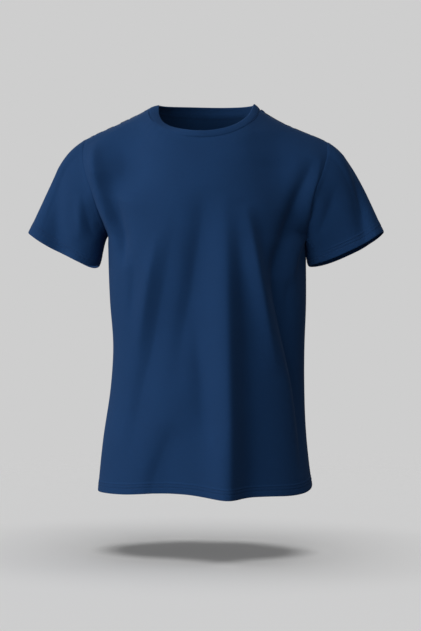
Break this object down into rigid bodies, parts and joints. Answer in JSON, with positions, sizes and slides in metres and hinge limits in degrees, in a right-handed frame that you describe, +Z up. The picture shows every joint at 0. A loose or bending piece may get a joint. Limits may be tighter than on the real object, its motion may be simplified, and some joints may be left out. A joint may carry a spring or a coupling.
{
  "type": "crew neck t-shirt",
  "caption": "Short-sleeved crew neck t-shirt in plain knit, filled out as worn, with a ribbed neckband, set-in sleeves, open hems and soft hanging folds.",
  "frame": {"origin": "midway between the two side neck points of the collar, where the shirt rests on its wearer's shoulders", "axes": "+Z up, -Y out of the front of the shirt, +X towards the wearer's left arm"},
  "size_m": [0.6429, 0.2599, 0.6976],
  "materials": {
    "jersey": "matt navy single jersey with a soft, faint sheen",
    "rib_knit": "matt navy 1x1 rib knit"
  },
  "bodies": {
    "root": {"front": "jersey", "back": "jersey", "sleeve_left": "jersey", "sleeve_right": "jersey", "neck_rib": "rib_knit"}
  },
  "joints": []
}
